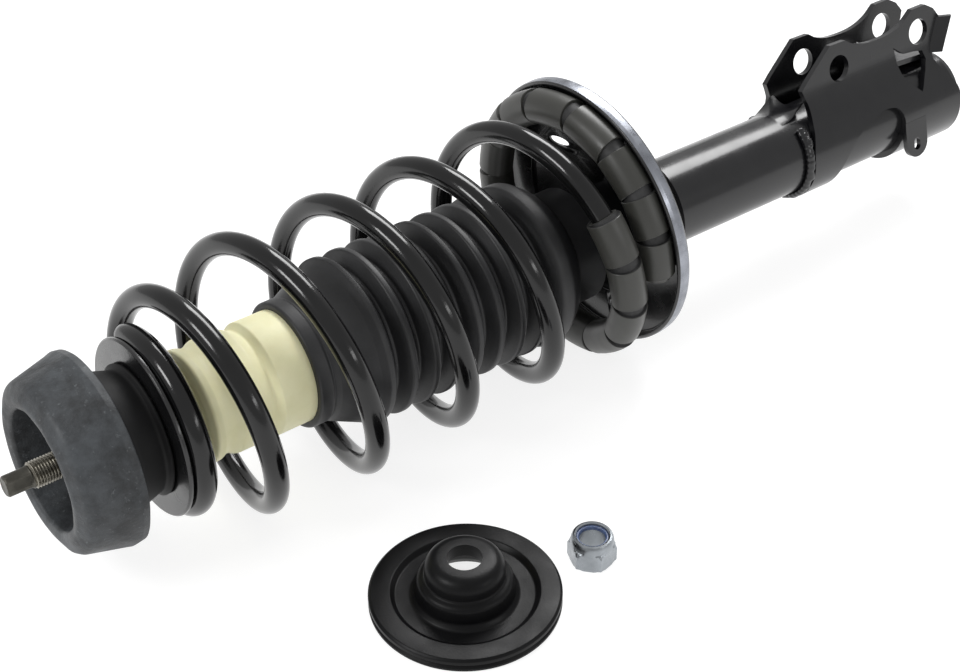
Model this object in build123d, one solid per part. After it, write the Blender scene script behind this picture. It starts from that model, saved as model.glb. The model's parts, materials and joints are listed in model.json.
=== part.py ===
from build123d import *
import math
import os

# Front suspension strut, complete with its coil spring and top mount, lying on its side, with the
# loose top retainer and locking nut beside it.
#
# Every strut piece is modelled in the strut's own frame: the origin is the tip of the piston rod,
# +Z runs down the strut axis toward the knuckle bracket, and +X points toward the bracket's ears.
# "s" is a distance along that axis and "r" a radius about it. assemble() then puts the strut on
# its side, with the row's +X along the strut and +Z up.

os.makedirs("parts", exist_ok=True)

# ---- driving dimensions, in mm ----

# piston rod
STUB_R = 5.6
STUB_FLATS = 8.6
STUB_END = 13.0
THREAD_R = 7.0
THREAD_END = 38.9
SHANK_R = 6.8
ROD_SHOULDER = 79.0
ROD_R = 11.0
ROD_END = 374.0
SPIGOT_END = 402.0
SLIP = 0.05

# top mount, bearing and upper seat
SLOTTED_NUT = (39.6, 49.0, 12.0)
BALL_PITCH_R = 16.0
BALL_R = 3.4
BALL_COUNT = 12
BEARING_S = 59.0
RACE_INNER_R = 13.9
RACE_OUTER_R = 18.1
RACE_HOUSING_R = 25.0
RING_OPENING_R = 32.0
RING_RIM_R = 51.0
RING_RIM_S = 47.0
RING_BACK = 50.5
NECK_END = 72.5
SEAT_PLATE_S = 73.2
SEAT_PLATE_R = 47.7
SEAT_PLATE_T = 2.3

# coil spring: wire centre at each half turn, from the upper end to the lower end
WIRE_R = 6.25
SPRING_DRIFT = 12.0
END_NUDGE = 2.5
NUDGE_FROM = 1600.0
NUDGE_TURN = 160.0
HALF_TURN = 180.0
SPRING_FIRST = -540.0
SPRING_AXIAL = [82.6, 82.4, 88.0, 99.7, 124.4, 152.3, 182.5, 210.4, 237.7, 265.4, 294.5, 320.5, 343.0,
                352.0, 353.7]
SPRING_RADII = [46.0, 46.3, 47.0, 62.5, 61.8, 68.0, 66.3, 66.3, 66.3, 66.3, 66.3, 66.3, 66.3, 66.3, 66.3]
SPRING_START = -402.0
SPRING_END = 1893.0
SPRING_PHASE = 15.7
SLEEVE_START = 1492.0
SLEEVE_R = 9.9
SLEEVE_BORE_R = 6.45

# lower spring seat: set off toward the ears, and tilted toward them
SEAT_S = 366.0
SEAT_OFFSET = 14.5
SEAT_TILT = 0.09
SEAT_R = 79.5
SEAT_T = 2.6
SEAT_DEPTH = 8.2
SEAT_FLOOR_R = 52.0
LIP_R = SEAT_R + 0.1
LIP_S = 3.2
DRAIN_TURNS = (60, 180, 250)
DRAIN_PITCH_R = 62.0
DRAIN_R = 3.5
FUNNEL_DEPTH = 30.0
FUNNEL_END_R = 31.0
FUNNEL_WINDOWS = [(-30, 13), (100, 12), (188, 14), (278, 12)]
COLLAR_END = 405.0

# damper tube
TUBE_R = 25.4
TUBE_WALL = 2.0
TUBE_TOP = 300.0
TUBE_END = 636.0
CAP_END = 645.0
CYLINDER_R = 16.6
CYLINDER_BORE_R = 15.0

# bump stop and boot
BUMP_R = 31.0
BUMP_NECK_R = 20.0
BUMP_END = 175.0
BOOT_LIP_S = 158.0
BOOT_LIP_R = 34.8
BOOT_CREST_S = 193.0
BOOT_PITCH = 14.0
BOOT_CRESTS = 8
BOOT_CREST_R = 46.5
BOOT_VALLEY_R = 39.5
BOOT_WALL = 2.2
BOOT_END = 345.0

# knuckle bracket
SHEET = 3.6
EAR_Y = 17.0
WRAP_R = TUBE_R + 0.1 + SHEET
WRAP_FRONT = 511.0
BEND_X = 40.0
BEND_Y = 60.0
WELD_S = (504.5, 511.0)
WELD_R = 29.6
WEB_FOOT = (499.0, 22.0)
WEB_FOOT_Y = 19.4
WEB_TOP_Y = 15.2
WEB_T = 3.0
BOLT_R = 8.0
BOLT_HOLES = [(548.0, 43.7), (617.0, 46.3)]
TAB_HOLE = (597.0, -17.5)
TAB_Y = 26.0
TAB_T = 3.1

# how the strut lies, and the loose pieces beside it
LEAN = 15.7
LOOSE_X = 170.5
LOOSE_Y = -136.2
NUT_X = 239.3
NUT_Y = -150.8
RETAINER_R = 48.0
NUT_FLATS = 22.0
NUT_HEIGHT = 13.0

AXIS = Axis.Z


# ---- helpers ----

def turned(points, radius=0.0):
    """Solid of revolution about the strut axis from an outline of (r, s) points."""
    corners = [(r, 0, s) for r, s in points]
    if radius:
        outline = FilletPolyline(*corners, radius=radius, close=True)
    else:
        outline = Polyline(*corners, close=True)
    return revolve(make_face(outline), AXIS, 360)


def tube(r_in, r_out, s0, s1):
    """Plain ring between two radii."""
    return turned([(r_in, s0), (r_out, s0), (r_out, s1), (r_in, s1)])


def hexagon(flats, s0, s1, bore):
    """Hexagonal nut with both faces chamfered on its corners."""
    half = flats / 2
    corner = half / math.cos(math.pi / 6)
    body = Pos(0, 0, s0) * extrude(RegularPolygon(corner, 6), s1 - s0)
    cut = 0.5 * (corner - half)
    chamfer_cone = turned([(0, s0), (half, s0), (corner, s0 + cut), (corner, s1 - cut), (half, s1), (0, s1)])
    return (body & chamfer_cone) - Pos(0, 0, s0) * extrude(Circle(bore), s1 - s0)


def cylinder_along(start, direction, radius, length):
    """Round bar from a point along a direction."""
    return extrude(Plane(origin=start, z_dir=direction) * Circle(radius), length)


def smooth(values, position):
    """Value between evenly spaced stations, on a curve that passes through all of them."""
    last = len(values) - 1
    i = min(max(int(position), 0), last - 1)
    t = position - i
    a = values[i]
    b = values[i + 1]
    slope_a = (b - values[max(i - 1, 0)]) / 2
    slope_b = (values[min(i + 2, last)] - a) / 2
    return (
        a * (2 * t**3 - 3 * t**2 + 1)
        + slope_a * (t**3 - 2 * t**2 + t)
        + b * (3 * t**2 - 2 * t**3)
        + slope_b * (t**3 - t**2)
    )


# ---- spring ----

def spring_point(angle):
    """Wire centre at an angle of turn: the coils drift toward the ears and tilt into the lower seat."""
    station = (angle - SPRING_FIRST) / HALF_TURN
    s = smooth(SPRING_AXIAL, station)
    radius = smooth(SPRING_RADII, station)
    share = min(max((s - SEAT_PLATE_S) / (SEAT_S - SEAT_PLATE_S), 0.0), 1.0)
    turn = math.radians(angle + SPRING_PHASE)
    x = radius * math.cos(turn)
    y = radius * math.sin(turn)
    late = min(max((angle - NUDGE_FROM) / NUDGE_TURN, 0.0), 1.0)
    nudge = END_NUDGE * (3 * late**2 - 2 * late**3)
    return Vector(x + SPRING_DRIFT * share + nudge, y, s - SEAT_TILT * share * x)


def wire_path(first, last, step=24.0):
    count = round((last - first) / step)
    return Spline(*[spring_point(first + (last - first) * i / count) for i in range(count + 1)])


def wire(path, radius):
    section = Plane(origin=path @ 0, z_dir=path % 0) * Circle(radius)
    return sweep(section, path=path, is_frenet=True)


def coil_spring():
    return wire(wire_path(SPRING_START, SPRING_END), WIRE_R)


def spring_sleeve():
    path = wire_path(SLEEVE_START, SPRING_END)
    section = Plane(origin=path @ 0, z_dir=path % 0) * (Circle(SLEEVE_R) - Circle(SLEEVE_BORE_R))
    return sweep(section, path=path, is_frenet=True)


# ---- piston rod and what moves with it ----

def piston_rod():
    rod = turned([
        (0, 0), (STUB_R - 0.8, 0), (STUB_R, 0.8), (STUB_R, STUB_END), (THREAD_R, STUB_END + 1.2),
        (THREAD_R, THREAD_END), (SHANK_R, THREAD_END), (SHANK_R, ROD_SHOULDER), (ROD_R, ROD_SHOULDER),
        (ROD_R, ROD_END), (SHANK_R, ROD_END), (SHANK_R, SPIGOT_END), (0, SPIGOT_END),
    ])
    for side in (-1, 1):
        flat = Pos(0, side * (STUB_FLATS / 2 + 5), STUB_END / 2 - 1) * Box(20, 10, STUB_END)
        rod -= flat
    return rod


def slotted_nut():
    s0, s1, radius = SLOTTED_NUT
    nut = tube(SHANK_R, radius, s0, s1)
    for turn in (0, 90):
        nut -= Rot(0, 0, turn) * Pos(0, 0, s0 + 1.5) * Box(2.2 * radius, 3.2, 3.0)
    return nut


def upper_spring_seat():
    top = SEAT_PLATE_S
    under = SEAT_PLATE_S + SEAT_PLATE_T
    return turned([
        (SEAT_PLATE_R - 0.8, top), (SEAT_PLATE_R, top + 0.8), (SEAT_PLATE_R, under), (32, under),
        (32, ROD_SHOULDER), (SHANK_R + SLIP, ROD_SHOULDER), (SHANK_R + SLIP, ROD_SHOULDER - 2.2),
        (29.8, ROD_SHOULDER - 2.2), (29.8, top),
    ])


def ball_groove():
    """Ring-shaped groove that both races share, a little larger than the balls."""
    circle = Plane.XZ * Pos(BALL_PITCH_R, BEARING_S) * Circle(BALL_R + 0.2)
    return revolve(circle, AXIS, 360)


def ball_places():
    for i in range(BALL_COUNT):
        turn = math.tau * i / BALL_COUNT
        yield Pos(BALL_PITCH_R * math.cos(turn), BALL_PITCH_R * math.sin(turn), BEARING_S)


def bearing_inner_race():
    race = turned([
        (SHANK_R + SLIP, 49), (10.5, 49), (10.5, 53), (RACE_INNER_R, 53), (RACE_INNER_R, 65.5),
        (SHANK_R + SLIP, 65.5),
    ])
    return race - ball_groove()


def bearing_outer_race():
    return tube(RACE_OUTER_R, RACE_HOUSING_R, 53, 65) - ball_groove()


def bearing_cage():
    cage = tube(14.6, 17.4, BEARING_S - 4.6, BEARING_S + 4.6)
    for i in range(BALL_COUNT):
        turn = 360 * i / BALL_COUNT
        cage -= Rot(0, 0, turn) * cylinder_along((10, 0, BEARING_S), (1, 0, 0), BALL_R + 0.2, 12)
    return cage


def bearing_balls():
    return Compound([place * Sphere(BALL_R) for place in ball_places()])


def bump_stop():
    """Foam cushion on the rod: a thin neck, two lobes and a long body with a tapered tip."""
    bore = ROD_R + 0.1
    return turned([
        (bore, 80.5), (BUMP_NECK_R, 80.5), (BUMP_NECK_R, 92), (26, 94), (30, 97.5), (30, 100.5), (27.6, 105),
        (27.6, 107.5), (BUMP_R, 113), (BUMP_R, 129), (28.7, 133.5), (BUMP_R, 139), (BUMP_R, 162), (26, 167),
        (19, 171), (15, BUMP_END), (bore, BUMP_END),
    ])


def piston():
    body = tube(SHANK_R + SLIP, 14.4, 376, 390)
    for turn in range(0, 360, 60):
        body -= Rot(0, 0, turn) * cylinder_along((10.5, 0, 376), (0, 0, 1), 1.4, 14)
    return body


def piston_shims():
    above = tube(SHANK_R + SLIP, 12.5, 374, 376)
    below = tube(SHANK_R + SLIP, 12.5, 390, 391.5)
    return Compound([above, below])


# ---- top mount ----

def mount_shell():
    """Pressed steel insert: a housing for the bearing, with a flange bonded between both rubbers."""
    return turned([
        (19, RING_BACK), (34, RING_BACK), (34, 52.5), (27.5, 52.5), (27.5, 66), (RACE_HOUSING_R, 66),
        (RACE_HOUSING_R, 53), (19, 53),
    ])


def mount_ring():
    """Thick rubber ring, coned outside, with a deep cup for the dome of the body."""
    corners = [
        (19, RING_BACK), (19, 44), (29, 42.5), (RING_OPENING_R, 19), (38, 17.5), (45.4, 21.5),
        (RING_RIM_R, RING_RIM_S), (50.2, RING_BACK),
    ]
    return turned(corners, [0, 1.5, 3, 2.5, 4, 5, 1.2, 0.8])


def mount_neck():
    return turned([
        (34, RING_BACK), (37, RING_BACK), (36.2, 57), (34, 64), (32.5, 69), (34.4, NECK_END),
        (27.5, NECK_END), (27.5, 52.5), (34, 52.5),
    ])


# ---- damper tube and what is inside it ----

def tube_closure():
    return turned([
        (ROD_R + 0.4, 296.5), (TUBE_R - 1, 296.5), (TUBE_R, 297.5), (TUBE_R, TUBE_TOP),
        (ROD_R + 0.4, TUBE_TOP),
    ])


def rod_seal():
    inside = TUBE_R - TUBE_WALL
    return turned([
        (ROD_R + SLIP, TUBE_TOP), (inside, TUBE_TOP), (inside, 307), (ROD_R + 3, 307), (ROD_R + SLIP, 305),
    ])


def rod_guide():
    inside = TUBE_R - TUBE_WALL
    return turned([
        (13, 307), (inside, 307), (inside, 321), (CYLINDER_R, 329), (13, 329),
    ])


def base_valve():
    inside = TUBE_R - TUBE_WALL
    body = turned([(0, 618), (CYLINDER_R, 618), (inside, 625), (inside, 628), (0, 628)])
    for turn in range(0, 360, 90):
        body -= Rot(0, 0, turn) * cylinder_along((8, 0, 618), (0, 0, 1), 1.8, 10)
    return body


def bottom_cap():
    inside = TUBE_R - TUBE_WALL
    return turned([
        (0, CAP_END), (14, CAP_END), (21.5, CAP_END - 1.2), (24.6, CAP_END - 4), (TUBE_R, CAP_END - 7),
        (TUBE_R, TUBE_END), (inside, TUBE_END), (inside, 628), (21.2, 628), (21.2, 640), (0, 641.5),
    ])


def dust_boot():
    """Bellows: a lip on the bump stop, a wide shoulder, evenly pitched folds and a cuff on the tube."""
    bead = BUMP_R + 0.3
    outside = [(BOOT_LIP_R, BOOT_LIP_S), (BOOT_LIP_R, 164), (34.0, 166), (44.5, 187)]
    for i in range(BOOT_CRESTS):
        crest = BOOT_CREST_S + i * BOOT_PITCH
        outside.append((BOOT_CREST_R, crest))
        outside.append((BOOT_VALLEY_R, crest + BOOT_PITCH / 2))
    outside += [(47, 305), (47, 312), (42, 320), (33, 326), (33, BOOT_END)]
    inside = [(r - BOOT_WALL, s) for r, s in outside[2:-2]]
    inside = [(bead, BOOT_LIP_S), (bead, 165)] + inside + [(TUBE_R, 327), (TUBE_R, BOOT_END)]
    return turned(outside + inside[::-1])


# ---- lower spring seat ----

def seat_plane():
    return Plane(
        origin=(SEAT_OFFSET, 0, SEAT_S), x_dir=(1, 0, -SEAT_TILT), z_dir=(SEAT_TILT, 0, 1),
    )


def lower_spring_seat():
    """Pressed dish: a floor for the end coil, inside a rim that is rolled over at its lip."""
    wall = SEAT_R - SEAT_T
    dish = turned([
        (SEAT_FLOOR_R, 0), (wall + 0.4, 0), (SEAT_R - 0.4, -1.6), (LIP_R, LIP_S - SEAT_DEPTH),
        (SEAT_R - 0.3, 0.6 - SEAT_DEPTH), (wall + 1, -SEAT_DEPTH), (wall, 1.4 - SEAT_DEPTH),
        (wall, -SEAT_T - 1.6), (wall - 1.6, -SEAT_T), (SEAT_FLOOR_R, -SEAT_T),
    ])
    for turn in DRAIN_TURNS:
        drill = cylinder_along((DRAIN_PITCH_R, 0, -SEAT_T - 1), (0, 0, 1), DRAIN_R, SEAT_T + 2)
        dish -= Rot(0, 0, turn) * drill
    return seat_plane().location * dish


def seat_funnel(radius_a, radius_b, depth):
    """Loft from the seat's inner edge, off-centre and tilted, to a circle on the tube."""
    wide = seat_plane() * Circle(radius_a)
    narrow = Plane(origin=(0, 0, SEAT_S + depth)) * Circle(radius_b)
    return loft([wide, narrow])


def seat_collar():
    """Support cone between the dish and the tube, with windows, and a short collar at its end."""
    outside = seat_funnel(SEAT_FLOOR_R + 1, FUNNEL_END_R, FUNNEL_DEPTH)
    inside = seat_funnel(SEAT_FLOOR_R + 1 - SEAT_T, FUNNEL_END_R - SEAT_T, FUNNEL_DEPTH)
    cone = outside - inside
    for turn, width in FUNNEL_WINDOWS:
        window = Rot(0, 0, turn) * Pos(50, 0, SEAT_S + 8) * Box(20, width, 60)
        cone -= fillet(window.edges().filter_by(AXIS), 4)
    end = SEAT_S + FUNNEL_DEPTH
    collar = turned([
        (TUBE_R, end - 2), (28.4, end - 2), (28.4, COLLAR_END - 3), (FUNNEL_END_R, COLLAR_END),
        (TUBE_R, COLLAR_END),
    ])
    bridge = turned([
        (TUBE_R, end - 2), (FUNNEL_END_R, end - 1.2), (FUNNEL_END_R, end + 1), (TUBE_R, end + 1),
    ])
    return (cone + bridge + collar) - Pos(0, 0, SEAT_S) * extrude(Circle(TUBE_R), 60)


# ---- knuckle bracket ----

def bracket_section(grow):
    """Outline across the strut: a circle round the tube that sweeps into a parallel pair of ears."""
    radius = WRAP_R + grow
    ear = EAR_Y + grow
    bend = BEND_Y - ear
    leave = math.atan2(BEND_Y, BEND_X)
    start = (radius * math.cos(leave), radius * math.sin(leave))
    halfway = leave / 2 - math.pi * 3 / 4
    middle = (BEND_X + bend * math.cos(halfway), BEND_Y + bend * math.sin(halfway))
    far = [(start[0], -start[1]), (middle[0], -middle[1]), (BEND_X, -ear)]
    outline = [
        ThreePointArc(start, middle, (BEND_X, ear)),
        Polyline((BEND_X, ear), (70, ear), (70, -ear), (BEND_X, -ear)),
        ThreePointArc(far[2], far[1], far[0]),
        Line(far[0], start),
    ]
    return Circle(radius) + make_face([edge for line in outline for edge in line.edges()])


def side_outline():
    """Side view of the bracket: scalloped ears, and an underside cut back between its two straps."""
    ears = [
        Spline((WRAP_FRONT, -2), (513, 8), (517.5, 18), (519.3, 30)),
        Polyline((519.3, 30), (516.5, 38.5), (521.5, 43), (542.2, 59.3), (554.8, 59.0), (558.7, 56.3)),
        Spline((558.7, 56.3), (567, 53.2), (580, 51.7), (593, 52.3), (606.5, 56.8)),
        Polyline((606.5, 56.8), (613, 61.3), (624.7, 61.3), (631.5, 57.2), (636, 51), (634.5, 46.5),
                 (626.5, 33), (626.5, 27)),
        Spline((626.5, 27), (630, 20), (636, 10), (638, -2)),
        Polyline((638, -2), (638, -32), (586, -32), (587, -10)),
        Spline((587, -10), (588, 1), (584.5, 8), (577, 10.7), (565, 9.3), (552, 4.6), (543, -2), (535.5, -14),
               (531, -32)),
        Polyline((531, -32), (WRAP_FRONT, -32), (WRAP_FRONT, -2)),
    ]
    return make_face([edge for line in ears for edge in line.edges()])


def side_window():
    """Opening behind the rear bolt hole, between the bulged side wall and the rear strip."""
    return make_face(Polyline(
        (594.5, 42.5), (603, 36.2), (611, 35.4), (619, 33.8), (620.5, 28), (617, 22), (612, 16.5), (607.5, 12),
        (603, 16.6), (597.8, 25), (595.7, 33.5), close=True,
    ))


def across_strut(face):
    """A side view as a thick slab, standing across the strut."""
    plane = Plane(origin=(0, -40, 0), x_dir=(0, 0, 1), z_dir=(0, 1, 0))
    return extrude(plane * face, 80)


def rear_flange(side):
    """Strip folded outward along one ear's rear edge."""
    fold = Vector(6.6, 0, 7.6)
    low = Vector(625.8, 30.5, EAR_Y - SHEET)
    high = Vector(635.6, 50.8, EAR_Y - SHEET)
    ring = [low, high, high + fold, low + fold]
    corners = [Vector(point.Y, side * point.Z, point.X) for point in ring]
    thick = Vector(0, side * SHEET * 0.75, -SHEET * 0.66)
    face = make_face(Polyline(*corners, close=True))
    return extrude(face, amount=SHEET, dir=thick.normalized())


def knuckle_bracket():
    length = CAP_END - WRAP_FRONT
    shell = bracket_section(0) - bracket_section(-SHEET)
    shell = Pos(0, 0, WRAP_FRONT) * extrude(shell, length)
    body = (shell & across_strut(side_outline())) - across_strut(side_window())
    for side in (-1, 1):
        body += rear_flange(side)
    for s, x in BOLT_HOLES:
        body -= cylinder_along((x, -30, s), (0, 1, 0), BOLT_R, 60)
    return body


def bracket_web():
    """Sloping sheet across the front of the ears, with a hollowed top edge, standing on the tube."""
    top = 20.5
    slope = Plane(origin=(WEB_FOOT[1], 0, WEB_FOOT[0]), x_dir=(0, 1, 0), z_dir=(0.909, 0, -0.417))
    edge = Polyline((-WEB_TOP_Y, top), (-WEB_FOOT_Y, 0), (WEB_FOOT_Y, 0), (WEB_TOP_Y, top))
    hollow = ThreePointArc((WEB_TOP_Y, top), (0, top - 5), (-WEB_TOP_Y, top))
    sheet = extrude(slope * make_face(edge.edges() + hollow.edges()), -WEB_T)
    return sheet - Pos(0, 0, 480) * extrude(Circle(TUBE_R + 0.1), 60)


def bracket_stiffener():
    """Bent plate that ties the ears together over the tube, under the rear bolt hole."""
    half = EAR_Y - SHEET
    plane = Plane(origin=(0, -half, 0), x_dir=(0, 0, 1), z_dir=(0, 1, 0))
    outline = Polyline((588, 27), (596, 28.6), (624, 26.9), (632, 26.4), (632, 29.4), (624, 30), (597, 31.8),
                       (588, 30.2), close=True)
    return extrude(plane * make_face(outline), 2 * half)


def hose_tab():
    """Lug hanging beside the rear strap, with a slotted hole for a hose or wire clip."""
    plane = Plane(origin=(0, TAB_Y, 0), x_dir=(0, 0, 1), z_dir=(0, 1, 0))
    s, drop = TAB_HOLE
    plate = Pos(s, drop + 7) * Rectangle(18, 16) + Pos(s, drop) * Circle(9)
    slot = Pos(s, drop - 0.5) * Rot(0, 0, 90) * SlotOverall(8, 5.2)
    return extrude(plane * (plate - slot), TAB_T) - Pos(0, 0, 570) * extrude(Circle(WRAP_R), 60)


def bracket_welds():
    """Fillet weld round the tube, along the wrap's front edge."""
    first, last = WELD_S
    bead = make_face(Polyline((TUBE_R, 0, first), (27.6, 0, first + 0.8), (WELD_R, 0, first + 3.6),
                              (WELD_R, 0, last), (TUBE_R, 0, last), close=True))
    return Rot(0, 0, 62) * revolve(bead, AXIS, 236)


# ---- loose top retainer and locking nut, each standing on z = 0 ----

def retainer_plate():
    """Pressed dish: a grooved rim, a flat step, and a rounded two-stage hub with the stud hole."""
    outside = [
        (RETAINER_R, 2.0), (RETAINER_R - 1.5, 3.4), (RETAINER_R, 4.8), (RETAINER_R - 0.8, 7.0), (36.5, 7.6),
        (34.5, 5.2), (26.5, 5.2), (24.5, 8.5), (22.5, 16.5), (20.5, 19), (19, 26), (15.5, 29.0),
        (BOLT_R + 0.8, 29.0),
    ]
    inside = [
        (BOLT_R + 0.8, 26.2), (14.5, 26.2), (16.2, 24.5), (17.8, 17.0), (19.8, 15), (21.8, 7.0), (24.2, 2.4),
        (36, 2.4), (38, 4.6), (44.5, 4.6), (44.5, 0), (RETAINER_R - 0.8, 0),
    ]
    return turned(outside + inside)


def locking_nut():
    body = hexagon(NUT_FLATS, 0, NUT_HEIGHT, THREAD_R)
    collar = tube(7.6, 10.6, NUT_HEIGHT, NUT_HEIGHT + 4.5)
    pocket = tube(THREAD_R, 8.9, NUT_HEIGHT + 0.5, NUT_HEIGHT + 3.6)
    return body + collar - pocket


def nylon_insert():
    return tube(THREAD_R - 0.2, 8.9, NUT_HEIGHT + 0.5, NUT_HEIGHT + 3.6)


# ---- all pieces ----

def strut_pieces():
    """Every piece of the strut itself, in the strut's frame."""
    inside = TUBE_R - TUBE_WALL
    return {
        "reserve_tube": tube(inside, TUBE_R, TUBE_TOP, TUBE_END),
        "bottom_cap": bottom_cap(),
        "tube_closure": tube_closure(),
        "rod_seal": rod_seal(),
        "rod_guide": rod_guide(),
        "guide_bush": tube(ROD_R + SLIP, 13, 310, 327),
        "inner_cylinder": tube(CYLINDER_BORE_R, CYLINDER_R, 329, 618),
        "base_valve": base_valve(),
        "base_valve_disc": tube(4, 12, 616.8, 618),
        "knuckle_bracket": knuckle_bracket(),
        "bracket_web": bracket_web(),
        "bracket_stiffener": bracket_stiffener(),
        "bracket_welds": bracket_welds(),
        "hose_tab": hose_tab(),
        "lower_spring_seat": lower_spring_seat(),
        "seat_collar": seat_collar(),
        "coil_spring": coil_spring(),
        "spring_sleeve": spring_sleeve(),
        "dust_boot": dust_boot(),
        "piston_rod": piston_rod(),
        "slotted_nut": slotted_nut(),
        "bearing_inner_race": bearing_inner_race(),
        "seat_spacer": tube(SHANK_R + SLIP, 10.5, 65.5, ROD_SHOULDER - 2.2),
        "upper_spring_seat": upper_spring_seat(),
        "bump_washer": tube(ROD_R + SLIP, 19, ROD_SHOULDER, 80.5),
        "bump_stop": bump_stop(),
        "rebound_cushion": tube(ROD_R, 14.5, 330, 338),
        "rebound_stop": tube(ROD_R, 14.5, 338, 342),
        "piston": piston(),
        "piston_band": tube(14.4, CYLINDER_BORE_R - SLIP, 379, 387),
        "piston_shims": piston_shims(),
        "piston_nut": hexagon(19, 391.5, 400, SHANK_R),
        "bearing_balls": bearing_balls(),
        "bearing_cage": bearing_cage(),
        "bearing_outer_race": bearing_outer_race(),
        "mount_shell": mount_shell(),
        "mount_ring": mount_ring(),
        "mount_neck": mount_neck(),
    }


def loose_pieces():
    """Pieces that lie beside the strut, already standing on the floor."""
    return {
        "retainer_plate": Pos(LOOSE_X, LOOSE_Y, 0) * retainer_plate(),
        "locking_nut": Pos(NUT_X, NUT_Y, 0) * Rot(0, 0, 12) * locking_nut(),
        "nylon_insert": Pos(NUT_X, NUT_Y, 0) * nylon_insert(),
    }


def upright(slope):
    """Direction at right angles to a lying axis, as near to straight up as it can be."""
    return Vector(-math.sin(slope), 0, math.cos(slope))


def lying_plane(origin, slope):
    """Frame of the lying strut: +Z along the axis, +X toward the ears, which lean away from -Y."""
    lean = math.radians(LEAN)
    along = Vector(math.cos(slope), 0, math.sin(slope))
    ears = upright(slope) * math.cos(lean) + Vector(0, math.sin(lean), 0)
    return Plane(origin=origin, x_dir=ears, z_dir=along)


def lowest_points(slope):
    """Heights of the lowest points of the spring's wire and of the lower seat's lip, for one slope."""
    plane = lying_plane((0, 0, 0), slope)
    wire_heights = [
        plane.from_local_coords(spring_point(angle)).Z - WIRE_R for angle in range(-360, 1501, 10)
    ]
    dish = Plane(plane.location * seat_plane().location)
    lip_heights = [
        (dish.origin + dish.z_dir * (LIP_S - SEAT_DEPTH)
         + (dish.x_dir * math.cos(math.radians(turn)) + dish.y_dir * math.sin(math.radians(turn))) * LIP_R).Z
        for turn in range(0, 360, 3)
    ]
    return min(wire_heights), min(lip_heights)


def lie_angle():
    """Slope of the axis when the strut rests on its spring and on the lower seat's lip."""
    low = math.radians(-3)
    high = math.radians(5)
    for _ in range(30):
        slope = (low + high) / 2
        wire_low, lip_low = lowest_points(slope)
        if lip_low < wire_low:
            low = slope
        else:
            high = slope
    return slope


def assemble():
    """All pieces in the row's frame, with the origin at the bottom centre of their common box."""
    strut = strut_pieces()
    slope = lie_angle()
    lying = lying_plane((0, 0, 0), slope).location
    laid = {name: piece.moved(lying) for name, piece in strut.items()}
    drop = -min(laid[name].bounding_box().min.Z for name in ("coil_spring", "lower_spring_seat"))
    placed = {name: piece.moved(Location((0, 0, drop))) for name, piece in laid.items()}
    placed.update(loose_pieces())
    box = Compound([solid for piece in placed.values() for solid in piece.solids()]).bounding_box()
    shift = Vector(-(box.min.X + box.max.X) / 2, -(box.min.Y + box.max.Y) / 2, 0)
    nodes = {name: piece.moved(Location(shift)) for name, piece in placed.items()}
    return nodes, lying_plane(shift + Vector(0, 0, drop), slope), shift


def main():
    nodes, frame, shift = assemble()
    for name, piece in nodes.items():
        export_step(Compound(piece.solids()), f"parts/{name}.step")
    print("rod tip", frame.origin, "axis", frame.z_dir, "ears", frame.x_dir, "shift", shift)


main()
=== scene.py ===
import json
import math

import bpy
from mathutils import Matrix, Vector, noise


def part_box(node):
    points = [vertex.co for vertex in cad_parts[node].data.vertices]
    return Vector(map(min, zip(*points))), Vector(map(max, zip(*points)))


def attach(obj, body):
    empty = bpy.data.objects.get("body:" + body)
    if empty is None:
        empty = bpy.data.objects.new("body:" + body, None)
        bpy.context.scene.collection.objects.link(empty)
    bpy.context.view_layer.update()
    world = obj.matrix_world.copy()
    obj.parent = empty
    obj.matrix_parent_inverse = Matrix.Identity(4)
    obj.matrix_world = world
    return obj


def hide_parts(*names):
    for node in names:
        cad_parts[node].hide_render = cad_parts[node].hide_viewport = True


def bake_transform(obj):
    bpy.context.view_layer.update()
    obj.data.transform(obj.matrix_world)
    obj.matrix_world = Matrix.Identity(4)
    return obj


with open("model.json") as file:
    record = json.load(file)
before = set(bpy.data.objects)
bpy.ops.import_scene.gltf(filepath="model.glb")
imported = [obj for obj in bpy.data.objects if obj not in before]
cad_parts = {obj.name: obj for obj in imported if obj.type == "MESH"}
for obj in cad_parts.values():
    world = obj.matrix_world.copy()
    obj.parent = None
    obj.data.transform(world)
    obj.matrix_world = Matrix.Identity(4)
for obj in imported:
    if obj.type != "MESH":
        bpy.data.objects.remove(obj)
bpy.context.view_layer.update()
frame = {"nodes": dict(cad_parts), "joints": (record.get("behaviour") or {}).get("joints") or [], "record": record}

# A car's front strut lying on a pale floor, with its loose top retainer and locking nut.
# Shapes are drawn in the strut's own frame, in millimetres: +Z runs down the strut axis from the
# rod's tip to the bracket, and +X points toward the bracket's ears. "s" is a distance along the
# axis and "r" a radius about it. STRUT carries those millimetres into the row's metres.

MM = 0.001
JOINTS = {joint["name"]: joint for joint in frame["joints"]}
MOUNTS = {mount["name"]: mount for mount in frame["record"]["mounts"]}
BEARING_S = 59.0    # where the swivel's point lies along the strut

axis_down = Vector(JOINTS["mount_swivel"]["axis"]).normalized()
axis_side = Vector(MOUNTS["knuckle_bolt_front"]["axis"]).normalized()
axis_ears = axis_side.cross(axis_down).normalized()
rod_tip = Vector(JOINTS["mount_swivel"]["pos_m"]) - axis_down * BEARING_S * MM
STRUT = Matrix((axis_ears, axis_side, axis_down)).transposed().to_4x4()
STRUT = Matrix.Translation(rod_tip) @ STRUT @ Matrix.Scale(MM, 4)


# ---------------------------------------------------------------- camera, floor and light

CAMERA_PLACE = (-0.5367, -0.6205, 0.6665)
CAMERA_TURN = (52.653, 0.543, -36.907)
CAMERA_LENS = 70.4
CAMERA_SENSOR = 36

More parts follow.
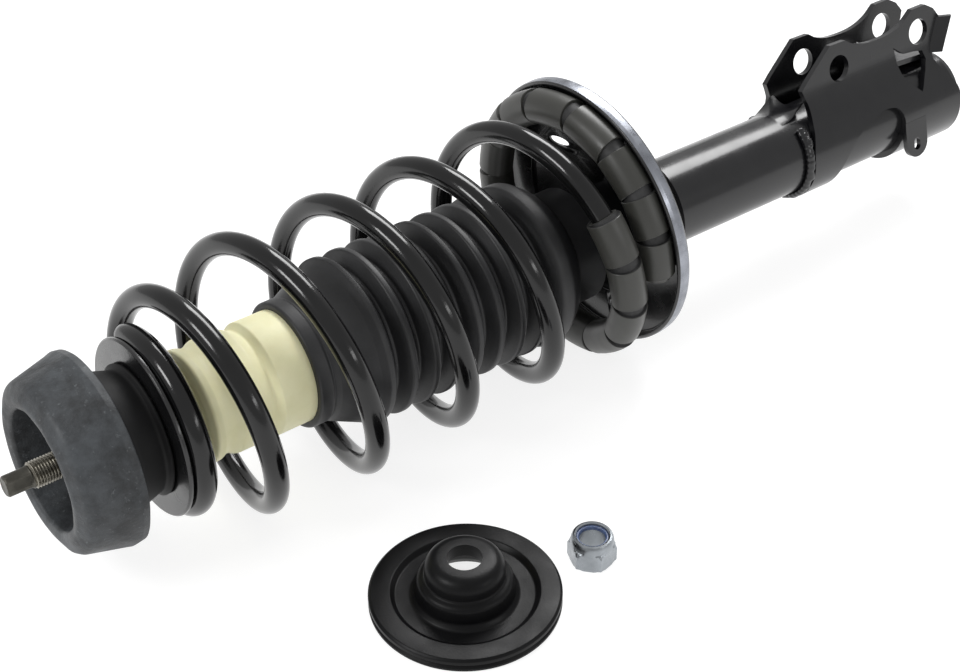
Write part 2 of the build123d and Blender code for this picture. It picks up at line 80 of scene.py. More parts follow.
FLOOR_SIZE = 12
FLOOR_DROP = 0.0002
FLOOR_GREY = 0.3
FLOOR_GLOW = 0.82
WORLD_STRENGTH = 0.6

# name, place, what it faces, size and power of each soft box
MIDDLE = (0, 0, 0.05)
SOFT_BOXES = [
    ("key", (0.85, 0.65, 1.25), (0.05, 0.05, 0.05), (1.05, 0.65), 22),
    ("left", (-1.3, 0.1, 1.1), MIDDLE, (0.6, 0.35), 9),
    ("front", (0.5, -1.5, 0.7), MIDDLE, (0.8, 0.2), 2.5),
]


def make_camera():
    camera = bpy.data.objects.new("camera", bpy.data.cameras.new("camera"))
    camera.data.lens = CAMERA_LENS
    camera.data.sensor_width = CAMERA_SENSOR
    camera.location = CAMERA_PLACE
    camera.rotation_euler = [math.radians(turn) for turn in CAMERA_TURN]
    bpy.context.scene.collection.objects.link(camera)
    bpy.context.scene.camera = camera


def soft_box(name, place, aim, size, power):
    light = bpy.data.lights.new(name, "AREA")
    light.shape = "RECTANGLE"
    light.size, light.size_y = size
    light.energy = power
    lamp = bpy.data.objects.new(name, light)
    lamp.location = place
    lamp.rotation_euler = (Vector(aim) - Vector(place)).to_track_quat("-Z", "Y").to_euler()
    bpy.context.scene.collection.objects.link(lamp)


def make_studio():
    bpy.context.scene.view_settings.view_transform = "Standard"
    world = bpy.data.worlds.new("studio")
    world.use_nodes = True
    backdrop = world.node_tree.nodes["Background"]
    backdrop.inputs["Color"].default_value = (1.0, 1.0, 1.0, 1)
    backdrop.inputs["Strength"].default_value = WORLD_STRENGTH
    bpy.context.scene.world = world
    for box in SOFT_BOXES:
        soft_box(*box)

    bpy.ops.mesh.primitive_plane_add(size=FLOOR_SIZE)
    floor = bpy.context.object
    floor.name = "floor"
    floor.location.z = -FLOOR_DROP
    white, _, shader = new_material("floor_white", (FLOOR_GREY,) * 3, 0.8)
    shader.inputs["Emission Color"].default_value = (1, 1, 1, 1)
    shader.inputs["Emission Strength"].default_value = FLOOR_GLOW
    floor.data.materials.append(white)


# ---------------------------------------------------------------- materials

def new_material(name, base, roughness, metallic=0.0):
    material = bpy.data.materials.new(name)
    material.use_nodes = True
    shader = material.node_tree.nodes["Principled BSDF"]
    shader.inputs["Base Color"].default_value = (*base, 1)
    shader.inputs["Roughness"].default_value = roughness
    shader.inputs["Metallic"].default_value = metallic
    return material, material.node_tree, shader


def add_noise(tree, scale, detail=4.0, rough=0.5, stretch=(1, 1, 1)):
    """Noise in object space, so it stays with the piece; scale is in features per metre."""
    place = tree.nodes.new("ShaderNodeTexCoord")
    mapping = tree.nodes.new("ShaderNodeMapping")
    mapping.inputs["Scale"].default_value = stretch
    texture = tree.nodes.new("ShaderNodeTexNoise")
    texture.inputs["Scale"].default_value = scale
    texture.inputs["Detail"].default_value = detail
    texture.inputs["Roughness"].default_value = rough
    tree.links.new(place.outputs["Object"], mapping.inputs["Vector"])
    tree.links.new(mapping.outputs["Vector"], texture.inputs["Vector"])
    return texture.outputs["Fac"]


def add_range(tree, value, low, high, from_low=0.3, from_high=0.7):
    node = tree.nodes.new("ShaderNodeMapRange")
    node.inputs["From Min"].default_value = from_low
    node.inputs["From Max"].default_value = from_high
    node.inputs["To Min"].default_value = low
    node.inputs["To Max"].default_value = high
    tree.links.new(value, node.inputs["Value"])
    return node.outputs["Result"]


def add_mix(tree, factor, first, second):
    node = tree.nodes.new("ShaderNodeMix")
    node.data_type = "RGBA"
    for socket, colour in ((6, first), (7, second)):
        if isinstance(colour, tuple):
            node.inputs[socket].default_value = (*colour, 1)
        else:
            tree.links.new(colour, node.inputs[socket])
    tree.links.new(factor, node.inputs[0])
    return node.outputs[2]


def add_bump(tree, shader, height, strength, distance):
    node = tree.nodes.new("ShaderNodeBump")
    node.inputs["Strength"].default_value = strength
    node.inputs["Distance"].default_value = distance
    tree.links.new(height, node.inputs["Height"])
    tree.links.new(node.outputs["Normal"], shader.inputs["Normal"])


def vary_gloss(tree, shader, scale, detail, low, high):
    """Soft changes of roughness between two values."""
    worn = add_range(tree, add_noise(tree, scale, detail), low, high)
    tree.links.new(worn, shader.inputs["Roughness"])


def vary_colour(tree, shader, share, first, second):
    tree.links.new(add_mix(tree, share, first, second), shader.inputs["Base Color"])


def gloss_paint(name, base, roughness, peel=0.25, dust=0.004, coat=0.25, specular=0.5):
    """Stoved black paint: a faint orange peel, soft changes of gloss, and a thin film of dust."""
    material, tree, shader = new_material(name, base, roughness)
    film = add_range(tree, add_noise(tree, 38, 5, 0.6), 0.0, 1.0)
    vary_colour(tree, shader, film, base, tuple(c + dust for c in base))
    vary_gloss(tree, shader, 60, 4, roughness * 0.85, roughness * 1.25)
    shader.inputs["Specular IOR Level"].default_value = specular
    shader.inputs["Coat Weight"].default_value = coat
    shader.inputs["Coat Roughness"].default_value = 0.06
    add_bump(tree, shader, add_noise(tree, 900, 2), peel, 0.0001)
    return material


def black_rubber(name, base, roughness, bloom=(0.05, 0.05, 0.052), specular=0.5):
    """Moulded rubber: fine grain, with a pale bloom in patches."""
    material, tree, shader = new_material(name, base, roughness)
    patches = add_range(tree, add_noise(tree, 45, 6, 0.65), 0.0, 1.0, 0.4, 0.75)
    vary_colour(tree, shader, patches, base, bloom)
    shader.inputs["Specular IOR Level"].default_value = specular
    vary_gloss(tree, shader, 25, 4, roughness * 0.9, roughness * 1.15)
    add_bump(tree, shader, add_noise(tree, 1600, 3), 0.3, 0.00012)
    return material


def bloomed_rubber():
    """The mount's ring: grey-blue bloom over black rubber, cloudy and streaked."""
    material, tree, shader = new_material("mount_bloom", (0.03, 0.034, 0.038), 0.55)
    clouds = add_range(tree, add_noise(tree, 34, 8, 0.72), 0.0, 1.0, 0.4, 0.62)
    base = add_mix(tree, clouds, (0.012, 0.0135, 0.015), (0.05, 0.056, 0.062))
    specks = add_range(tree, add_noise(tree, 420, 4, 0.6), 0.0, 1.0, 0.62, 0.72)
    vary_colour(tree, shader, specks, base, (0.075, 0.082, 0.088))
    vary_gloss(tree, shader, 70, 5, 0.42, 0.66)
    add_bump(tree, shader, add_noise(tree, 210, 7, 0.65), 0.7, 0.0006)
    return material


def cream_foam():
    """Microcellular foam: smooth cream skin, faintly mottled, with tiny pits."""
    material, tree, shader = new_material("cream_foam", (0.8, 0.76, 0.47), 0.5)
    mottle = add_range(tree, add_noise(tree, 60, 5, 0.6), 0.0, 1.0)
    vary_colour(tree, shader, mottle, (0.77, 0.74, 0.45), (0.85, 0.82, 0.54))
    shader.inputs["Subsurface Weight"].default_value = 0.15
    shader.inputs["Subsurface Radius"].default_value = (0.004, 0.003, 0.002)
    add_bump(tree, shader, add_noise(tree, 1400, 3), 0.25, 0.00015)
    return material


def bare_metal(name, base, roughness, grain=0.3, stretch=(1, 1, 1), stain=0.6):
    material, tree, shader = new_material(name, base, roughness, 1.0)
    film = add_range(tree, add_noise(tree, 90, 6, 0.6), 0.0, 1.0)
    vary_colour(tree, shader, film, base, tuple(c * stain for c in base))
    vary_gloss(tree, shader, 160, 5, roughness * 0.7, roughness * 1.4)
    add_bump(tree, shader, add_noise(tree, 900, 4, 0.6, stretch), grain, 0.0001)
    return material


def satin_plastic(name, base, roughness):
    material, tree, shader = new_material(name, base, roughness)
    vary_gloss(tree, shader, 50, 4, roughness * 0.8, roughness * 1.2)
    add_bump(tree, shader, add_noise(tree, 700, 3), 0.15, 0.0001)
    return material


def blue_nylon():
    material, tree, shader = new_material("blue_nylon", (0.05, 0.08, 0.17), 0.35)
    tone = add_range(tree, add_noise(tree, 220, 3), 0.0, 1.0)
    vary_colour(tree, shader, tone, (0.045, 0.07, 0.16), (0.07, 0.11, 0.22))
    shader.inputs["Subsurface Weight"].default_value = 0.3
    shader.inputs["Subsurface Radius"].default_value = (0.001, 0.0015, 0.002)
    return material


def make_materials():
    return {
        "spring_paint": gloss_paint(
            "spring_gloss", (0.002, 0.002, 0.0022), 0.15, 0.25, 0.003, 0.15, 0.38),
        "black_paint": gloss_paint(
            "tube_gloss", (0.004, 0.004, 0.005), 0.22, 0.25, 0.004, 0.15, 0.45),
        "seat_paint": gloss_paint("seat_gloss", (0.004, 0.004, 0.0045), 0.24, 0.35),
        "retainer_paint": gloss_paint(
            "retainer_satin", (0.002, 0.002, 0.0024), 0.38, 0.5, 0.0015, 0.0, 0.16),
        "boot_rubber": black_rubber(
            "boot_matte", (0.009, 0.009, 0.0098), 0.48, (0.019, 0.019, 0.0205)),
        "neck_rubber": black_rubber(
            "neck_matte", (0.003, 0.003, 0.0033), 0.62, (0.007, 0.007, 0.0075), 0.3),
        "seal_rubber": black_rubber("seal_matte", (0.006, 0.006, 0.006), 0.6),
        "mount_grey": bloomed_rubber(),
        "bump_foam": cream_foam(),
        "sleeve_plastic": satin_plastic("sleeve_satin", (0.034, 0.034, 0.03), 0.38),
        "bare_steel": bare_metal("bare_steel", (0.45, 0.44, 0.43), 0.4),
        "rod_chrome": bare_metal("rod_chrome", (0.62, 0.62, 0.63), 0.12, 0.1),
        "stub_steel": bare_metal("stub_steel", (0.12, 0.115, 0.1), 0.45),
        "thread_steel": bare_metal("thread_steel", (0.34, 0.32, 0.27), 0.42),
        "bearing_steel": bare_metal("bearing_steel", (0.6, 0.6, 0.61), 0.2, 0.1),
        "bronze": bare_metal("bronze", (0.6, 0.42, 0.22), 0.4),
        "sintered": bare_metal("sintered", (0.24, 0.24, 0.25), 0.6, 0.6),
        "ptfe": satin_plastic("ptfe_band", (0.25, 0.22, 0.18), 0.6),
        "cage_plastic": satin_plastic("cage_plastic", (0.7, 0.66, 0.55), 0.5),
        "rim_silver": bare_metal("rim_silver", (0.34, 0.355, 0.395), 0.3, 0.2, (1, 1, 1), 0.6),
        "zinc": bare_metal("bright_zinc", (0.36, 0.385, 0.41), 0.3, 0.25, (1, 1, 0.15), 0.7),
        "nylon": blue_nylon(),
    }


# ---------------------------------------------------------------- mesh tools

def arcs(points, radii, steps=5):
    """Outline of (r, s) points with each inner corner rounded to its radius."""
    rounded = [points[0]]
    for before, corner, after, radius in zip(points, points[1:], points[2:], radii):
        if not radius:
            rounded.append(corner)
            continue
        here = Vector(corner)
        back = (Vector(before) - here).normalized()
        on = (Vector(after) - here).normalized()
        half = math.acos(max(-1.0, min(1.0, back.dot(on)))) / 2
        if half > math.pi / 2 - 0.01:
            rounded.append(corner)
            continue
        reach = radius / math.tan(half)
        centre = here + (back + on).normalized() * (radius / math.sin(half))
        first = here + back * reach - centre
        last = here + on * reach - centre
        sweep = first.angle_signed(last)
        for i in range(steps + 1):
            turned = Matrix.Rotation(-sweep * i / steps, 2) @ first
            rounded.append(tuple(centre + turned))
    rounded.append(points[-1])
    return rounded


def mesh_object(name, vertices, faces, material, matrix=None, sharp=35.0):
    mesh = bpy.data.meshes.new(name)
    mesh.from_pydata(vertices, [], faces)
    mesh.transform(STRUT if matrix is None else matrix)
    mesh.validate()
    mesh.polygons.foreach_set("use_smooth", [True] * len(mesh.polygons))
    mesh.set_sharp_from_angle(angle=math.radians(sharp))
    mesh.materials.append(material)
    piece = bpy.data.objects.new(name, mesh)
    bpy.context.scene.collection.objects.link(piece)
    return piece


def turned(name, outline, material, around=128, matrix=None, warp=None, sharp=35.0):
    """Closed solid of revolution from a closed outline of (r, s) points; warp may move a point."""
    count = len(outline)
    vertices = []
    for i in range(around):
        turn = math.tau * i / around
        for r, s in outline:
            point = Vector((r * math.cos(turn), r * math.sin(turn), s))
            vertices.append(warp(point, turn) if warp else point)
    faces = []
    for i in range(around):
        j = (i + 1) % around
        for k in range(count):
            m = (k + 1) % count
            faces.append((i * count + k, j * count + k, j * count + m, i * count + m))
    return mesh_object(name, vertices, faces, material, matrix, sharp)


def skin(loops, around, closed=False):
    """Faces from each loop of vertices to the next, and from the last to the first when closed."""
    faces = []
    for i in range(loops if closed else loops - 1):
        j = (i + 1) % loops
        for k in range(around):
            m = (k + 1) % around
            faces.append((i * around + k, i * around + m, j * around + m, j * around + k))
    return faces


def swept(name, rings, ends, material):
    """Tube through ring after ring of points, closed by fans round its two end points."""
    vertices = [point for ring in rings for point in ring]
    around = len(rings[0])
    faces = skin(len(rings), around)
    for ring, centre, flip in ((0, ends[0], False), (len(rings) - 1, ends[1], True)):
        hub = len(vertices)
        vertices.append(centre)
        for k in range(around):
            m = (k + 1) % around
            a = ring * around
            faces.append((hub, a + k, a + m) if flip else (hub, a + m, a + k))
    return mesh_object(name, vertices, faces, material)


def take_place(nodes):
    """The piece replaces the CAD nodes, which are hidden."""
    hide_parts(*nodes)


def stand_for(piece, body, *nodes):
    """The piece rides on a body and stands in for the CAD nodes."""
    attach(piece, body)
    take_place(nodes)


def stretch_between(piece, share, *nodes):
    """Bakes the piece in place and works out share(point) for each of its points, 0 at the tube and 1 at the rod;
    the piece stands in for the CAD nodes.
    """
    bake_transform(piece)
    inverse = STRUT.inverted()
    values = [share(inverse @ vertex.co) for vertex in piece.data.vertices]
    take_place(nodes)


# ---------------------------------------------------------------- coil spring and its sleeve

WIRE_R = 6.25
SPRING_FIRST = -540.0
SPRING_AXIAL = [
    82.6, 82.2, 85.0, 99.7, 124.4, 150.8, 182.5, 210.4, 237.7, 265.4, 294.5, 320.5, 343.0, 352.0,
    353.7,
]
SPRING_RADII = [
    45.5, 45.6, 46.8, 61.9, 61.8, 68.8, 66.3, 66.3, 66.3, 66.3, 66.3, 66.3, 66.3, 66.3, 66.3,
]
SPRING_START = -390.0
SPRING_END = 1893.0
SPRING_PHASE = 15.7
SPRING_UPPER_S = 73.2
SEAT_S = 366.0
SPRING_DRIFT = 12.0
END_NUDGE = 2.5
NUDGE_FROM = 1600.0
NUDGE_TURN = 160.0
SEAT_OFFSET = 14.5
SEAT_TILT = 0.09
SLEEVE_R = 9.9
SLEEVE_JOINTS = [
    1492, 1515, 1539, 1565, 1593, 1616, 1640, 1665, 1690, 1712, 1733, 1753, 1775, 1803, 1829, 1851,
    1872, 1893,
]


def smooth(values, position):
    """Value between evenly spaced stations, on a curve that passes through all of them."""
    last = len(values) - 1
    i = min(max(int(position), 0), last - 1)
    t = position - i
    a, b = values[i], values[i + 1]
    slope_a = (b - values[max(i - 1, 0)]) / 2
    slope_b = (values[min(i + 2, last)] - a) / 2
    return (a * (2 * t**3 - 3 * t**2 + 1) + slope_a * (t**3 - 2 * t**2 + t)
            + b * (3 * t**2 - 2 * t**3) + slope_b * (t**3 - t**2))


def spring_point(angle):
    station = (angle - SPRING_FIRST) / 180
    s = smooth(SPRING_AXIAL, station)
    radius = smooth(SPRING_RADII, station)
    share = min(max((s - SPRING_UPPER_S) / (SEAT_S - SPRING_UPPER_S), 0.0), 1.0)
    turn = math.radians(angle + SPRING_PHASE)
    x, y = radius * math.cos(turn), radius * math.sin(turn)
    late = min(max((angle - NUDGE_FROM) / NUDGE_TURN, 0.0), 1.0)
    nudge = END_NUDGE * (3 * late**2 - 2 * late**3)
    return Vector((x + SPRING_DRIFT * share + nudge, y, s - SEAT_TILT * share * x))


def wire_frame(angle):
    """Wire centre, and two directions across the wire: outward and along the strut."""
    here = spring_point(angle)
    along = (spring_point(angle + 0.5) - spring_point(angle - 0.5)).normalized()
    turn = math.radians(angle + SPRING_PHASE)
    outward = Vector((math.cos(turn), math.sin(turn), 0))
    outward = (outward - along * outward.dot(along)).normalized()
    return here, outward, along.cross(outward), along


def wire_ring(angle, radius, around, shift=0.0):
    here, outward, across, along = wire_frame(angle)
    centre = here + along * shift
    ring = []
    for k in range(around):
        turn = math.tau * k / around
        ring.append(centre + (outward * math.cos(turn) + across * math.sin(turn)) * radius)
    return centre, ring


FREE_FROM = -100.0
FREE_TO = 1750.0
FREE_STEP = 10.0
TIGHT_UNTIL = 100
TIGHT_NEST = 0.2


def coil_gaps():
    """Share of the travel taken up at each angle: open coils close evenly, end coils don't."""
    total, angle, table = 0.0, FREE_FROM, [0.0]
    while angle < FREE_TO:
        rise = spring_point(angle + FREE_STEP).z - spring_point(angle).z
        nest = 1.0 if angle > TIGHT_UNTIL else TIGHT_NEST
        solid = 2 * WIRE_R * FREE_STEP / 360 * nest
        total += max(0.0, rise - solid)
        table.append(total)
        angle += FREE_STEP
    return [1 - value / total for value in table]


COIL_SHARES = coil_gaps()


def coil_share(angle):
    position = min(max((angle - FREE_FROM) / FREE_STEP, 0.0), len(COIL_SHARES) - 1.001)
    i = int(position)
    return COIL_SHARES[i] + (COIL_SHARES[i + 1] - COIL_SHARES[i]) * (position - i)


def share_by_angle(angles_of_vertices):
    values = iter(angles_of_vertices)
    return lambda point: coil_share(next(values))


def make_spring(material):
    """Wire with softly rounded ends: each row is an angle, a radius and a shift along the wire."""
    step, around = 4.0, 40
    edge, radius_cut, shift_cut = 0.8, 0.2, 0.25
    profile = [
        (SPRING_START, WIRE_R - edge, 0.0), (SPRING_START, WIRE_R - radius_cut, shift_cut),
        (SPRING_START, WIRE_R, edge),
    ]
    count = int((SPRING_END - SPRING_START) / step)
    for i in range(1, count):
        profile.append((SPRING_START + (SPRING_END - SPRING_START) * i / count, WIRE_R, 0.0))
    profile += [
        (SPRING_END, WIRE_R, -edge), (SPRING_END, WIRE_R - radius_cut, -shift_cut),
        (SPRING_END, WIRE_R - edge, 0.0),
    ]
    rings, centres, angles = [], [], []
    for angle, radius, shift in profile:
        centre, ring = wire_ring(angle, radius, around, shift)
        centres.append(centre)
        rings.append(ring)
        angles += [angle] * around
    angles += [SPRING_START, SPRING_END]
    spring = swept("spring_wire", rings, (centres[0], centres[-1]), material)
    stretch_between(spring, share_by_angle(angles), "coil_spring")


BARREL_BOW = 0.6
BARREL_SHIFT = 0.4


def barrel_ring(first, last, along, radius, around):
    """Ring of a straight barrel whose ends lie on the wire; along runs from its start, in mm."""
    start, end = spring_point(first), spring_point(last)
    axis = (end - start).normalized()
    outward = wire_frame((first + last) / 2)[1]
    outward = (outward - axis * outward.dot(axis)).normalized()
    across = axis.cross(outward)
    bow = 4 * (along / (end - start).length) * (1 - along / (end - start).length)
    middle = spring_point((first + last) / 2) - (start + end) / 2
    centre = start + axis * along + middle * bow * BARREL_BOW + middle * BARREL_SHIFT
    return [centre + (outward * math.cos(t) + across * math.sin(t)) * radius
            for t in (math.tau * k / around for k in range(around))]


def make_sleeve(material, painted_gap_shade):
    """Plastic sleeve round the end coil: straight barrels, joined by a thinner tube inside."""
    around, inner = 40, SLEEVE_R - 1.6
    cut, lip, lean = 0.95, 0.3, 0.05
    rings, angles, gaps = [], [], set()

    def add(ring, angle):
        rings.append(ring)
        angles.extend([angle] * around)

    for first, last in zip(SLEEVE_JOINTS, SLEEVE_JOINTS[1:]):
        length = (spring_point(last) - spring_point(first)).length
        gaps.update((len(rings) - 1, len(rings), len(rings) + 1))
        add(wire_ring(first, inner, around)[1], first)
        rows = [(cut, inner), (cut, SLEEVE_R - lip), (cut + lip, SLEEVE_R - lean)]
        rows += [(cut + lip + (length - 2 * cut - 2 * lip) * k / 5, SLEEVE_R) for k in range(1, 5)]
        rows += [(length - cut - lip, SLEEVE_R - lean), (length - cut, SLEEVE_R - lip)]
        rows += [(length - cut, inner)]
        for along, radius in rows:
            angle = first + (last - first) * along / length
            add(barrel_ring(first, last, along, radius, around), angle)
    add(wire_ring(SPRING_END, inner, around)[1], SPRING_END)
    angles += [SLEEVE_JOINTS[0], SPRING_END]
    ends = (spring_point(SLEEVE_JOINTS[0]), spring_point(SPRING_END))
    sleeve = swept("spring_sleeve_barrels", rings, ends, material)
    # The joining tube and the barrels' cut ends take the darker material: painted shade in the gaps between the
    # barrels.
    sleeve.data.materials.append(painted_gap_shade)
    for polygon in sleeve.data.polygons:
        if polygon.index // around in gaps:
            polygon.material_index = 1
    stretch_between(sleeve, share_by_angle(angles), "spring_sleeve")


# ---------------------------------------------------------------- bump stop and boot

BUMP_R = 31.0
BUMP_FIXED_S = 80.5
BUMP_END_S = 175.0
BUMP_KEPT = 0.78
BOOT_HELD_S = 165.0
BOOT_FREE_S = 325.0
CREST_S = 193.0
CREST_PITCH = 14.0
CREST_COUNT = 8
CREST_R = 46.6
VALLEY_R = 38.5
BOOT_WALL = 2.2
BOOT_LIP_R = 34.8
BOOT_LIP_S = 156.8
BOOT_TAIL_R = 33
BOOT_TAIL_S = 345
TUBE_R = 25.4


def bump_share(point):
    t = min(max((point.z - BUMP_FIXED_S) / (BUMP_END_S - BUMP_FIXED_S), 0.0), 1.0)
    return 1 - (1 - BUMP_KEPT) * t


def boot_share(point):
    held = bump_share(Vector((0, 0, BOOT_HELD_S - 6)))
    t = min(max((BOOT_FREE_S - point.z) / (BOOT_FREE_S - BOOT_HELD_S), 0.0), 1.0)
    return held * t


def make_bump_stop(material):
    bore = 11.1
    points = [
        (bore, BUMP_FIXED_S), (20, BUMP_FIXED_S), (20, 96.5), (26, 98), (30.6, 100.0),
        (30.4, 104.0), (28.0, 109.0), (BUMP_R, 114.5), (BUMP_R, 129), (27.9, 134.2),
        (BUMP_R + 0.2, 138.2), (BUMP_R, 162), (26, 167), (19, 171), (15, BUMP_END_S),
        (bore, BUMP_END_S), (bore, BUMP_FIXED_S),
    ]
    radii = [0.6, 3, 2.5, 2, 3, 6, 6, 4, 1.6, 1.8, 3, 3, 3, 2, 0.6]
    piece = turned("bump_stop_foam", arcs(points, radii)[:-1], material, 128)
    stretch_between(piece, bump_share, "bump_stop")


def boot_outline():
    """Outer outline of the bellows from its lip's edge to its tail, and its corner radii."""
    points = [(BOOT_LIP_R, 164.4), (33.7, 166.2), (35.5, 169), (44.3, 188)]
    radii = [0, 1.2, 4, 6]
    for i in range(CREST_COUNT):
        crest = CREST_S + i * CREST_PITCH
        points += [(CREST_R, crest - 1.6), (CREST_R, crest + 1.8)]
        points += [(VALLEY_R, crest + 6.4), (VALLEY_R, crest + 8.4)]
        radii += [1.6, 1.6, 1.2, 1.2]
    points += [(47.2, 303.5), (47.2, 312), (41, 320.5), (BOOT_TAIL_R, 325.5)]
    points += [(BOOT_TAIL_R, BOOT_TAIL_S)]
    radii += [4, 5, 5, 3, 1]
    return points, radii


def make_boot(material):
    points, radii = boot_outline()
    bead = BUMP_R + 0.3
    outside = [(bead, BOOT_LIP_S), (BOOT_LIP_R, BOOT_LIP_S)] + points
    outer = arcs(outside, [1.5, 1.5] + radii[1:-1], 4)
    inside = [(r - BOOT_WALL, s) for r, s in points[2:-2]]
    inside = [(bead, BOOT_LIP_S), (bead, 166)] + inside
    inside += [(TUBE_R, 327), (TUBE_R, BOOT_TAIL_S), (BOOT_TAIL_R, BOOT_TAIL_S)]
    inner = arcs(inside, [0.6] + radii[2:-2] + [0.5, 0.5], 4)
    outline = outer[:-1] + inner[::-1][:-1]
    piece = turned("boot_bellows", outline, material, 144, sharp=50)
    stretch_between(piece, boot_share, "dust_boot")


# ---------------------------------------------------------------- top mount, rod and upper seat

def rough_edge(amount, scale, seed):
    """Uneven moulding: pushes points in and out by a smooth noise."""
    def warp(point, turn):
        direction = Vector((math.cos(turn), math.sin(turn), 0))
        place = Vector((direction.x * scale, direction.y * scale, point.z * 0.05 + seed))
        return point + direction * noise.noise(place) * amount
    return warp


def make_mount(materials):
    ring = [
        (19, 50.5), (19, 44), (29, 42.5), (31.5, 24), (32, 19.2), (37.5, 17.6), (45.2, 21.6),
        (50.2, 43), (51.2, 46.4), (50.6, 50.5), (36, 50.5), (19, 50.5),
    ]
    radii = [1.5, 3, 8, 2.4, 5, 5.5, 12, 1.6, 1.0, 0.3]
    piece = turned("mount_ring_rubber", arcs(ring, radii)[:-1], materials["mount_grey"], 160,
                   warp=rough_edge(0.6, 4.0, 1.0))
    stand_for(piece, "top_mount", "mount_ring")
    neck = [
        (34, 50.5), (37.4, 50.5), (36.4, 57), (34.2, 64), (32.5, 69.4), (35.2, 71.4), (35.0, 72.5),
        (27.5, 72.5), (27.5, 52.5), (34, 52.5), (34, 50.5),
    ]
    radii = [1, 6, 10, 2, 0.5, 0.3, 0, 0, 0]
    piece = turned("mount_neck_rubber", arcs(neck, radii)[:-1], materials["neck_rubber"], 144,
                   warp=rough_edge(0.3, 3.1, 4.0))
    stand_for(piece, "top_mount", "mount_neck")


THREAD_PITCH = 1.5
THREAD_DEPTH = 0.92
THREAD_R = 7.0
THREAD_START = 13.6
THREAD_END = 60.0
THREAD_CREST_FROM = 0.12
THREAD_CREST_RISE = 0.7
STUB_R = 5.5
STUB_HALF_FLATS = 4.3
ROD_R = 11.0
ROD_NECK_S = 79.0
ROD_END_S = 374.0
TENON_END_S = 402.0


def make_rod(materials):
    """Stub with two flats, a true helical thread, and the smooth rod behind its shoulder."""
    around = 72
    step = THREAD_PITCH / 8
    count = int((THREAD_END - THREAD_START) / step)
    vertices = []

    def add_level(radius_of, s):
        for k in range(around):
            turn = math.tau * k / around
            r = radius_of(turn)
            x, y = r * math.cos(turn), r * math.sin(turn)
            vertices.append((x, y, s))

    def flatted(radius):
        def radius_of(turn):
            across = abs(math.sin(turn))
            return min(radius, STUB_HALF_FLATS / across) if across > 0.01 else radius
        return radius_of

    for r, s in ((STUB_R - 0.8, 0.0), (STUB_R, 0.8), (STUB_R, 12.2)):
        add_level(flatted(r), s)
    add_level(lambda turn: STUB_R + 0.4, 12.9)
    for i in range(count + 1):
        s = THREAD_START + i * step
        fade = min(1.0, (s - THREAD_START) / 1.2 + 0.25)

        def ridge(turn, s=s, fade=fade):
            phase = ((s - THREAD_START) / THREAD_PITCH - turn / math.tau) % 1.0
            height = 1 - abs(2 * phase - 1)
            crest = min(1.0, max(0.0, (height - THREAD_CREST_FROM) / THREAD_CREST_RISE))
            return THREAD_R - THREAD_DEPTH * (1 - crest) - (1 - fade) * 0.7
        add_level(ridge, s)
    plain = [
        (THREAD_R - 0.05, THREAD_END + 0.6), (THREAD_R - 0.05, 78.8), (7.4, ROD_NECK_S),
        (10.4, ROD_NECK_S), (ROD_R, 79.6), (ROD_R, ROD_END_S), (7.0, ROD_END_S), (7.0, TENON_END_S),
    ]
    for r, s in plain:
        add_level(lambda turn, r=r: r, s)
    faces = skin(len(vertices) // around, around)
    faces.append(tuple(reversed(range(around))))
    faces.append(tuple(range(len(vertices) - around, len(vertices))))
    piece = mesh_object("rod_with_thread", vertices, faces, materials["thread_steel"], sharp=40)
    piece.data.materials.append(materials["rod_chrome"])
    piece.data.materials.append(materials["stub_steel"])
    inverse = STRUT.inverted()
    for polygon in piece.data.polygons:
        along = (inverse @ polygon.center).z
        if ROD_NECK_S + 0.3 < along < ROD_END_S:
            polygon.material_index = 1
        elif along < THREAD_START:
            polygon.material_index = 2
    stand_for(piece, "rod", "piston_rod")


def make_upper_seat(material):
    outline = [
        (29.8, 73.2), (46.9, 73.2), (47.7, 74.0), (47.7, 75.5), (32, 75.5), (32, 79), (7.05, 79),
        (7.05, 76.8), (29.8, 76.8), (29.8, 73.2),
    ]
    radii = [0.5, 0.4, 0.4, 1.2, 1.4, 0, 0, 0]
    piece = turned("upper_seat_plate", arcs(outline, radii)[:-1], material, 144)
    stand_for(piece, "rod", "upper_spring_seat")


# ---------------------------------------------------------------- lower spring seat

SEAT_R = 79.5
SEAT_T = 2.6
SEAT_DEPTH = 8.2
SEAT_FLOOR_R = 52.0
BAND_R = SEAT_R - 0.7
BAND_LOW = -6.6
BAND_HIGH = -0.9
DRAIN_TURNS = (60, 180, 250)
DRAIN_REACH = 62
DRAIN_R = 3.5
CONE_WIDE_R = 53
CONE_NARROW_R = 31
CONE_DEPTH = 30
CONE_SHEET = 2.4
WINDOW_PLACE = (48.5, -28)
WINDOW_R = 4.5


def seat_matrix():
    """Carries millimetres about the seat's own tilted, offset axis to the row."""
    up = Vector((SEAT_TILT, 0, 1)).normalized()
    across = Vector((1, 0, -SEAT_TILT)).normalized()
    turn = Matrix((across, up.cross(across), up)).transposed().to_4x4()
    return STRUT @ Matrix.Translation((SEAT_OFFSET, 0, SEAT_S)) @ turn


def cut_away(piece, cutter):
    """Cuts the cutter's shape out of the piece and removes the cutter."""
    notch = piece.modifiers.new("notch", "BOOLEAN")
    notch.object = cutter
    notch.operation = "DIFFERENCE"
    notch.solver = "EXACT"
    with bpy.context.temp_override(object=piece, active_object=piece):
        bpy.ops.object.modifier_apply(modifier=notch.name)
    bpy.data.objects.remove(cutter)


def post(place, radius, low, high, material, matrix):
    """Upright round post between two heights, to cut a hole with."""
    around = 32
    circle = [(place[0] + radius * math.cos(math.tau * k / around),
               place[1] + radius * math.sin(math.tau * k / around)) for k in range(around)]
    vertices = [Vector((x, y, z)) for z in (low, high) for x, y in circle]
    faces = skin(2, around) + [tuple(reversed(range(around))), tuple(range(around, 2 * around))]
    return mesh_object("post", vertices, faces, material, matrix)


